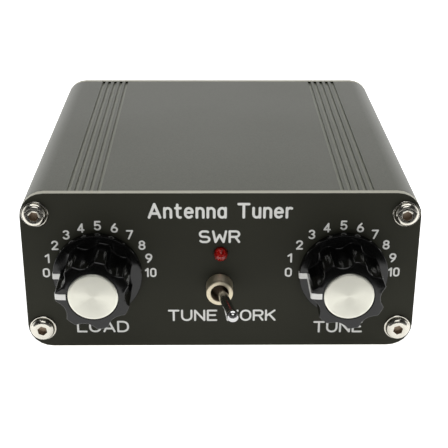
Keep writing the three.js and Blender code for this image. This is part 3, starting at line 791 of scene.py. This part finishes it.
def digitGlyphs():
    ring = (arc(0.27, 0.73, 0.27, 0.27, 0, 180) + arc(0.27, 0.27, 0.27, 0.27, 180, 360)
            + [(0.54, 0.73)])
    return {
        "0": (0.54, [ring]),
        "1": (0.3, [[(0, 0.76), (0.24, 1), (0.24, 0)]]),
        "2": (0.54, [arc(0.27, 0.73, 0.26, 0.27, 170, -25) + [(0.02, 0), (0.54, 0)]]),
        "3": (0.54, [arc(0.27, 0.76, 0.24, 0.24, 155, -90)
                     + arc(0.27, 0.26, 0.27, 0.26, 90, -155)]),
        "4": (0.6, [[(0.44, 0), (0.44, 1), (0, 0.26), (0.6, 0.26)]]),
        "5": (0.54, [[(0.5, 1), (0.06, 1), (0.03, 0.52)] + arc(0.26, 0.31, 0.28, 0.31, 120, -150)]),
        "6": (0.54, [arc(0.27, 0.29, 0.27, 0.29, 0, 360, 18), [(0.02, 0.4), (0.1, 0.66), (0.36, 1)]]),
        "7": (0.52, [[(0, 1), (0.52, 1), (0.16, 0)]]),
        "8": (0.54, [arc(0.27, 0.76, 0.23, 0.24, 0, 360, 18),
                     arc(0.27, 0.27, 0.27, 0.27, 0, 360, 18)]),
        "9": (0.54, [arc(0.27, 0.71, 0.27, 0.29, 0, 360, 18), [(0.52, 0.6), (0.44, 0.34), (0.18, 0)]]),
    }


glyphs = {**capitalGlyphs(), **smallGlyphs(), **digitGlyphs()}


# A line of lettering as flattened round-ended strokes. Box is left, right, bottom, top in mm,
# measured to the outside of the strokes.
def addLegend(name, words, box, weight, gap):
    left, right, bottom, top = box
    across = sum(glyphs[letter][0] for letter in words) + gap * (len(words) - 1)
    tall = top - bottom - weight
    wide = (right - left - weight) / across
    strokes = []
    x = 0.0
    for letter in words:
        width, lines = glyphs[letter]
        for line in lines:
            strokes.append([(left + weight / 2 + (x + u) * wide, bottom + weight / 2 + v * tall)
                            for u, v in line])
        x += width + gap
    addInk(name, strokes, weight)


# A stroke is cut where it turns sharply, so that each run keeps its full width.
def splitAtCorners(line):
    points = [Vector(place) for place in line]
    runs = [[points[0]]]
    for before, point, after in zip(points, points[1:], points[2:]):
        runs[-1].append(point)
        if (point - before).length > 0 and (after - point).length > 0:
            if (point - before).angle(after - point) > math.radians(35):
                runs.append([point])
    runs[-1].append(points[-1])
    return runs


def addInk(name, strokes, weight):
    curve = bpy.data.curves.new(name, "CURVE")
    curve.dimensions = "3D"
    caps = [(0.98, 0.2), (0.8, 0.6), (0.5, 0.86)]
    for line in (run for stroke in strokes for run in splitAtCorners(stroke)):
        first, second = line[0], line[1]
        last, previous = line[-1], line[-2]
        startWay = (first - second).normalized() * weight / 2
        endWay = (last - previous).normalized() * weight / 2
        points = [(first + startWay * out, thick) for out, thick in caps]
        points += [(place, 1.0) for place in line]
        points += [(last + endWay * out, thick) for out, thick in reversed(caps)]
        spline = curve.splines.new("POLY")
        spline.points.add(len(points) - 1)
        for point, (place, thick) in zip(spline.points, points):
            point.co = (place.x * mm, 0, place.y * mm, 1)
            point.radius = thick
    curve.bevel_depth = weight / 2 * mm
    curve.bevel_resolution = 2
    curve.use_fill_caps = True
    legend = meshFromCurve(name, curve)
    legend.scale = (1, ink["height"] / (weight / 2), 1)
    legend.location = (0, panelFace, 0)
    settle(legend, "ink", "case", smooth=60)


dial = {"x": 27.08, "z": 18.85, "radiusX": 11.9, "radiusZ": 11.5, "step": 18, "weight": 0.4,
        "half": 0.8, "tall": 1.15, "halfOne": 0.62, "halfTen": 1.3}


# How far some numbers were printed from their even places, in millimetres.
dialShifts = {("load", 1): -0.1, ("load", 9): -0.25, ("load", 10): -0.5,
              ("tune", 1): -0.3, ("tune", 10): -0.1}


def addLegends():
    addLegend("titleLegend", "Antenna Tuner", (-16.0, 15.8, 32.0, 35.75), 0.6, 0.34)
    addLegend("swrLegend", "SWR", (-4.9, 4.3, 26.1, 29.2), 0.53, 0.3)
    addLegend("switchLeftLegend", "TUNE", (-12.0, -0.75, 6.4, 9.35), 0.47, 0.3)
    addLegend("switchRightLegend", "WORK", (0.9, 12.6, 6.4, 9.35), 0.47, 0.3)
    addLegend("loadLegend", "LOAD", (-32.9, -21.0, 3.5, 6.5), 0.47, 0.3)
    addLegend("tuneLegend", "TUNE", (21.3, 32.6, 3.3, 6.3), 0.47, 0.3)
    for side, title in ((-1, "load"), (1, "tune")):
        for number in range(11):
            turn = math.radians(180 - dial["step"] * number)
            x = side * dial["x"] + dial["radiusX"] * math.cos(turn)
            z = dial["z"] + dial["radiusZ"] * math.sin(turn)
            half = dial["half"]
            if number == 1:
                half = dial["halfOne"]
            if number == 10:
                half = dial["halfTen"]
            x += dialShifts.get((title, number), 0)
            box = (x - half, x + half, z - dial["tall"], z + dial["tall"])
            addLegend(f"{title}Number{number}", str(number), box, dial["weight"], 0.28)


addLegends()
print("legends made")

lamp = {"radius": 1.5, "flange": 1.9, "dome": 12, "leadSpacing": 1.27, "lead": 0.25, "cupAt": -0.25,
        "postAt": 0.85, "bend": 4.2, "fold": 0.6, "straight": 3}


# The lens is clear red, with the cup and the whisker post of the lead frame inside it.
def addLamp():
    low, high, middle = boxOf("lamp_lens")
    tip = Vector((middle.x, low.y, middle.z))
    radius, flange = lamp["radius"], lamp["flange"]
    turns = [math.radians(90 * i / lamp["dome"]) for i in range(lamp["dome"] + 1)]
    dome = [(radius * math.sin(a), radius * (1 - math.cos(a))) for a in turns]
    turnNode("lamp_lens", dome + [
        (radius, 4.25), (flange - 0.05, 4.3), (flange, 4.35), (flange, 5.25), (flange - 0.1, 5.3), (0, 5.3)],
        tip, "lamp", "case", 50)
    for name, x, steps, profile in (
            ("lampCup", lamp["cupAt"], 24, [(0, 2.5), (0.3, 2.5), (0.62, 2.1), (0.72, 2.1), (0.72, 3.0),
                                            (0.3, 3.1), (0.3, 5.2), (0, 5.2)]),
            ("lampPost", lamp["postAt"], 16, [(0, 2.3), (0.22, 2.35), (0.26, 5.2), (0, 5.2)])):
        piece = spinProfile(name, profile, tip + Vector((x, 0, 0)) * mm, steps=steps)
        settle(piece, "tinned", "case")
    bend = boxOf("switch_base")[1].y + lamp["bend"] * mm
    fold = lamp["fold"] * mm
    for side, title in ((-1, "Short"), (1, "Long")):
        x = tip.x + side * lamp["leadSpacing"] * mm
        route = [(x, high.y - 0.2 * mm, tip.z), (x, bend - fold, tip.z), (x, bend, tip.z - fold),
                 (x, bend, tip.z - lamp["straight"] * mm), (x, bend, boardTop - buried)]
        addLead(f"lampLead{title}", route, lamp["lead"])


addLamp()
print("lamp made")

toggle = {"pivot": 1.5, "tilt": 12.5, "reach": 12.56, "tip": 1.35, "pitch": 0.5, "threads": 6,
          "threadFrom": 0.9, "pinSpacing": 4.7, "pin": 0.4, "pinOut": 2.2, "fold": 0.6}


def addToggle():
    low, high, middle = boxOf("switch_bushing")
    front = Vector((middle.x, low.y, middle.z))
    depth = (high.y - low.y) / mm
    profile = [(2.0, 0.12), (2.12, 0.0), (2.72, 0.0), (2.93, 0.12), (3.0, 0.35)]
    for i in range(toggle["threads"]):
        y = toggle["threadFrom"] + i * toggle["pitch"]
        profile += [(3.0, y - 0.14), (2.9, y), (3.0, y + 0.14)]
    profile += [(3.0, depth), (2.0, depth), (2.0, 0.12)]
    bushing = turnNode("switch_bushing", profile, front, "nickel", "case", 25, 64)
    # the bore's inside gets the darker steel: painted shade in the recess
    secondFinish(bushing, "socket", lambda face: face.center.y > front.y + 0.3 * mm and math.hypot(
        face.center.x - front.x, face.center.z - front.z) < 2.05 * mm)
    reach = toggle["reach"]
    tip = toggle["tip"]
    profile = []
    for i in range(12):
        turn = math.radians(-90 + 130 * i / 11)
        profile.append((max(tip * math.cos(turn), 0), tip * math.sin(turn) - reach))
    profile += [(1.03, -reach + 1.1), (1.04, -reach + 2), (1.15, -3.5), (1.1, -1.6), (1.45, -0.85),
                (1.62, -0.4), (1.7, 0), (1.62, 0.4), (1.45, 0.85), (0.8, 1.6), (0.7, 7.4), (0.4, 7.9),
                (0, 8.0)]
    lever = spinProfile("switchLever", profile, (0, 0, 0), steps=48)
    pivot = Vector((middle.x, panelFace - toggle["pivot"] * mm, middle.z))
    lever.matrix_world = Matrix.Translation(pivot) @ Matrix.Rotation(math.radians(toggle["tilt"]), 4, "Z")
    settle(lever, "chrome", "lever", ["switch_lever"], 45)
    easeNodes((("switch_frame", "steel", "stainless_steel", "case", 0.08),
               ("switch_base", "redPlastic", "red_plastic", "case", 0.12),
               ("switch_rocker", "brass", "brass", "rocker", 0.06)))
    baseHigh, baseMiddle = boxOf("switch_base")[1:]
    back, out, z = baseHigh.y, baseHigh.y + toggle["pinOut"] * mm, baseMiddle.z
    fold = toggle["fold"] * mm
    for i, title in enumerate(("Left", "Middle", "Right")):
        x = baseMiddle.x + (i - 1) * toggle["pinSpacing"] * mm
        route = [(x, back - buried, z), (x, out - fold, z), (x, out, z - fold), (x, out, boardTop - buried)]
        addLead(f"switchPin{title}", route, toggle["pin"])


addToggle()
print("switch made")

coax = {"pitch": 0.8, "outside": 4.85, "bore": 4.05, "face": 14.0, "lugAt": 9.9, "lugReach": 5.0,
        "lug": 1.0, "lugLength": 1.3, "nutCorner": 7.3, "nutThick": 2.2, "housingEdge": 0.3}


def addCoaxialSocket(name):
    face = boxOf(f"{name}_socket_barrel")[2]
    face.y = rearFace
    profile = [(0, -1.7), (4.5, -1.7), (4.72, -1.5)]
    for i in range(7):
        y = -1.3 + i * coax["pitch"]
        profile += [(4.72, y), (4.45, y + coax["pitch"] / 2)]
    end = coax["face"]
    wide = coax["outside"]
    bore = coax["bore"]
    profile += [(4.7, 4.5), (4.7, 4.9), (wide, 5.1), (wide, end - 0.4), (wide - 0.15, end - 0.12),
                (wide - 0.35, end), (bore + 0.15, end), (bore, end - 0.15), (bore, 5.3), (bore - 0.15, 5.2),
                (0, 5.2)]
    barrel = spinProfile(f"{name}SocketBarrel", profile, face, steps=64)
    for side in (-1, 1):
        place = face + Vector((side * coax["lugReach"], coax["lugAt"], 0)) * mm
        lug = addCylinder("lug", coax["lug"], coax["lugLength"], place, "X", 24)
        bevelEdges(lug, 0.12, 2, 50)
        cutWith(barrel, lug, operation="UNION")
    settle(barrel, "nickel", "case", [f"{name}_socket_barrel"], 30)
    turnNode(f"{name}_socket_insulator", [
        (1.2, 5.2), (2.45, 5.2), (2.45, 11.4), (2.3, 12.7), (2.2, 12.8), (1.25, 12.8), (1.2, 12.7),
        (1.2, 5.2)], face, "fluoroplastic", "case")
    turnNode(f"{name}_socket_contact", [
        (0, 5.2), (1.05, 5.2), (1.05, 12.35), (0.85, 12.6), (0.6, 12.6), (0.5, 12.45), (0.5, 8), (0, 8)],
        face, "gold", "case", steps=32)
    nut = copyNode(f"{name}_socket_nut")
    chamferNut(nut, face, coax["nutCorner"], coax["nutThick"])
    settle(nut, "nickel", "case", [f"{name}_socket_nut"], 25)
    housing = copyNode(f"{name}_socket_housing")
    bevelEdges(housing, coax["housingEdge"], 3, 50)
    settle(housing, "blackPlastic", "case", [f"{name}_socket_housing"])


# A hexagon with its corners turned down on the outer face.
def chamferNut(nut, face, corner, thick):
    cone = spinProfile("cone", [(0, -0.5), (corner + 1, -0.5), (corner + 1, thick - 0.75),
                                (corner - 0.75, thick + 0.02), (0, thick + 0.02)], face, steps=48)
    cutWith(nut, cone, operation="INTERSECT")
    bevelEdges(nut, 0.08, 2, 40)


for name in ("radio", "antenna"):
    addCoaxialSocket(name)
print("coaxial sockets made")

post = {"flutes": 24, "flute": 0.45, "fluteAt": 5.42, "fluteMiddle": 10.2, "fluteLength": 11.2,
        "pitch": 0.7, "threads": 33, "threadFrom": -7.6, "hole": 1.1, "holeAt": 4.6}


def addPost(name, finish):
    face = boxOf(f"{name}_post_cap")[2]
    face.y = rearFace
    turnNode(f"{name}_post_base", [
        (3.0, 0), (5.2, 0), (5.2, 1.9), (5.05, 2.3), (4.6, 2.6), (4.4, 3.0), (3.0, 3.0), (3.0, 0)],
        face, finish, "case", 30)
    cap = spinProfile(f"{name}PostCap", [
        (4.0, 3.2), (4.9, 3.2), (5.05, 3.4), (5.05, 4.2), (5.2, 4.6), (5.2, 15.4), (4.9, 16.4), (4.4, 17.0),
        (4.2, 17.4), (4.1, 19.0), (3.8, 19.4), (2.5, 19.4), (2.25, 19.15), (2.25, 17.0), (3.1, 17.0),
        (3.1, 12.0), (4.0, 12.0), (4.0, 3.2)], face, steps=96)
    cutters = []
    for i in range(post["flutes"]):
        turn = 2 * math.pi * (i + 0.5) / post["flutes"]
        place = Vector((math.cos(turn) * post["fluteAt"], post["fluteMiddle"],
                        math.sin(turn) * post["fluteAt"]))
        cutters.append(addCylinder("flute", post["flute"], post["fluteLength"], face + place * mm,
                                   sides=16))
    cutWith(cap, joinPieces(cutters, "flutes"))
    mergeDoubles(cap, False)
    settle(cap, finish, f"{name}_cap", [f"{name}_post_cap"], 32)
    studProfile = [(0, -8.0), (2.6, -8.0)]
    for i in range(post["threads"]):
        y = post["threadFrom"] + i * post["pitch"]
        studProfile += [(2.9, y), (2.62, y + post["pitch"] / 2)]
    studProfile += [(2.7, 16.1), (2.5, 16.4), (2.1, 16.4), (2.0, 16.3), (2.0, 6.4), (0, 6.4)]
    stud = spinProfile(f"{name}PostStud", studProfile, face, steps=40)
    cutWith(stud, addCylinder("wireHole", post["hole"], 8, face + along(post["holeAt"]), "X", 24))
    settle(stud, "nickel", "case", [f"{name}_post_stud"], 30)
    easeNodes(((f"{name}_post_insert", "brass", "brass", f"{name}_cap_travel", 0.1),
               (f"{name}_post_nut", "nickel", "nickel_plate", "case", 0.2)))


addPost("red", "redPlastic")
addPost("black", "phenolic")
print("binding posts made")

board = {"turns": 24, "wire": 0.4, "coreInner": 7.25, "ease": 0.6, "windFrom": 25, "windThrough": 310,
         "bridgeLift": 0.7, "bridgeTall": 3.2, "bridgeAt": (16, 12), "axialLift": 1.3, "axialLead": 0.28,
         "fold": 0.5, "resistorX": 26, "resistorStep": 3.6, "resistorY": 6, "diodeAt": (22, -6)}


# A toroid standing on the board with a wire wound round it. Sizes in millimetres.
def addToroid(name, size, finish, replaced):
    inner, outer, bottom, top, ease = (size[key] for key in ("inner", "outer", "bottom", "top", "ease"))
    x, y = size["place"]
    core = spinProfile(f"{name}Core", [
        (inner, bottom + ease), (inner + ease, bottom), (outer - ease, bottom), (outer, bottom + ease),
        (outer, top - ease), (outer - ease, top), (inner + ease, top), (inner, top - ease),
        (inner, bottom + ease)], (x * mm, y * mm, 0), "Z", 64)
    settle(core, finish, "case", replaced[:1])
    wire = size["wire"] + 0.05
    section = [(inner - wire, bottom - wire), (outer + wire, bottom - wire),
               (outer + wire, top + wire), (inner - wire, top + wire)]
    route = []
    total = size["turns"] * len(section)
    for i in range(total + 1):
        turn = math.radians(board["windFrom"] + board["windThrough"] * i / total)
        radius, z = section[i % len(section)]
        route.append(((x + radius * math.cos(turn)) * mm, (y + radius * math.sin(turn)) * mm, z * mm))
    winding = addWire(f"{name}Winding", route, size["wire"], False, 2)
    settle(winding, "wire", "case", replaced[1:])


# A body lying along Y on two bent leads.
def addAxialPart(name, x, y, profile, reach, finish, slot):
    x *= mm
    rest, fold = boardTop + board["axialLift"] * mm, board["fold"]
    body = spinProfile(name, profile, (x, y * mm, rest), steps=32)
    settle(body, finish, "case")
    near, far = (y - reach) * mm, (y + reach) * mm
    addLead(f"{name}Leads", [
        (x, near, boardTop - buried), (x, near, rest - fold * mm), (x, (y - reach + fold) * mm, rest),
        (x, (y + reach - fold) * mm, rest), (x, far, rest - fold * mm), (x, far, boardTop - buried)],
        board["axialLead"])


def addBoard():
    piece = copyNode("main_board")
    bevelEdges(piece, 0.05, 1, 50)
    settle(piece, "boardMask", "case", ["main_board"])
    secondFinish(piece, "edge", lambda face: abs(face.normal.z) < case["facing"])
    low, high, middle = boxOf("inductor_core")
    addToroid("inductor", {
        "inner": board["coreInner"], "outer": (high.x - low.x) / 2 / mm, "bottom": low.z / mm,
        "top": high.z / mm, "ease": board["ease"], "place": (middle.x / mm, middle.y / mm),
        "wire": board["wire"], "turns": board["turns"]}, "core", ["inductor_core", "inductor_winding"])
    rest = boardTop / mm + board["bridgeLift"]
    addToroid("bridge", {
        "inner": 2.6, "outer": 4.75, "bottom": rest, "top": rest + board["bridgeTall"], "ease": 0.3,
        "place": board["bridgeAt"], "wire": 0.22, "turns": 14}, "ferrite", [])
    resistor = [(0, -3.1), (0.6, -3.05), (1.1, -2.8), (1.2, -2.4), (1.15, -1.8), (1.0, -1.5), (1.0, 1.5),
                (1.15, 1.8), (1.2, 2.4), (1.1, 2.8), (0.6, 3.05), (0, 3.1)]
    for i in range(4):
        addAxialPart(f"resistor{i + 1}", board["resistorX"] + board["resistorStep"] * i,
                     board["resistorY"], resistor, 5, "lacquer", "cream_plastic")
    diode = [(0, -1.9), (0.7, -1.85), (0.92, -1.6), (0.92, 1.6), (0.7, 1.85), (0, 1.9)]
    addAxialPart("detectorDiode", *board["diodeAt"], diode, 3.8, "glass", "clear_plastic")


addBoard()
print("board made")

# Lengths in metres, strengths as radiance. The world's steps are in its direction vector.
room = {"floor": "#f4f4f2", "glow": 0.95, "gap": 0.0002, "rear": 1.9, "high": 0.1, "front": 0.12,
        "frontTo": -0.35, "rearFrom": 0.9, "lowTo": 0.2, "highFrom": 0.55, "flagNear": -0.096,
        "flagFar": -0.7, "flagHalf": 0.5, "flagHeight": 0.0005, "card": "#1c1c1c"}


def addFloor():
    bpy.ops.mesh.primitive_plane_add(size=6, location=(0, 0, -room["gap"]))
    floor = startPiece("floor")
    finish, tree, shader, place = newFinish("paleFloor", {
        "Roughness": 0.8, "Base Color": linear(room["floor"]), "Emission Color": linear("#ffffff"),
        "Emission Strength": room["glow"]})
    cloud = addNode(tree, "ShaderNodeTexNoise", {"Vector": place, "Scale": perMetre(40)})
    tree.links.new(spread(tree, cloud.outputs[0], 0.75, 0.85), shader.inputs["Roughness"])
    floor.data.materials.append(finish)


# A dark card on the floor in front, seen only in glossy reflections.
def addFlag():
    half, height = room["flagHalf"], room["flagHeight"]
    near, far = room["flagNear"], room["flagFar"]
    points = [(-half, far, height), (half, far, height), (half, near, height), (-half, near, height)]
    flag = meshFrom("frontFlag", points, [], [(0, 1, 2, 3)])
    finish = newFinish("blackCard", {"Roughness": 1.0, "Base Color": linear(room["card"])})[0]
    flag.data.materials.append(finish)
    for ray in ("camera", "diffuse", "shadow", "transmission", "volume_scatter"):
        setattr(flag, f"visible_{ray}", False)


# The world is bright behind the object, most of all near the horizon, and dark in front.
def addWorld():
    world = bpy.data.worlds.new("studio")
    world.use_nodes = True
    bpy.context.scene.world = world
    tree = world.node_tree
    place = addNode(tree, "ShaderNodeTexCoord").outputs["Generated"]
    way = addNode(tree, "ShaderNodeSeparateXYZ", {"Vector": place})
    behind = addNode(tree, "ShaderNodeMapRange", {
        "Value": way.outputs["Y"], "From Min": room["frontTo"], "From Max": room["rearFrom"],
        "To Min": room["front"], "To Max": room["rear"]}, interpolation_type="SMOOTHSTEP")
    height = addNode(tree, "ShaderNodeMapRange", {
        "Value": way.outputs["Z"], "From Min": room["lowTo"], "From Max": room["highFrom"],
        "To Min": 1.0, "To Max": room["high"]}, interpolation_type="SMOOTHSTEP")
    strength = addNode(tree, "ShaderNodeMath", {0: behind.outputs[0], 1: height.outputs[0]},
                       operation="MULTIPLY")
    background = tree.nodes["Background"]
    background.inputs[0].default_value = linear("#ffffff")
    tree.links.new(strength.outputs[0], background.inputs[1])


# Places and sizes in metres, power in watts. Both face the middle of the case.
lights = {"overhead": {"place": (0, 0.25, 0.75), "size": (0.9, 0.6), "power": 3.5},
          "frontTop": {"place": (0, -0.6, 0.8), "size": (0.6, 0.4), "power": 1.6}}
target = (0, 0, 0.02)


def addLights():
    for name, row in lights.items():
        data = bpy.data.lights.new(name, "AREA")
        data.energy = row["power"]
        data.shape = "RECTANGLE"
        data.size, data.size_y = row["size"]
        light = bpy.data.objects.new(name, data)
        light.location = row["place"]
        way = Vector(target) - Vector(row["place"])
        light.rotation_euler = way.to_track_quat("-Z", "Y").to_euler()
        bpy.context.scene.collection.objects.link(light)


addFloor()
addFlag()
addWorld()
addLights()
bpy.context.scene.view_settings.view_transform = "Standard"
print("room made")
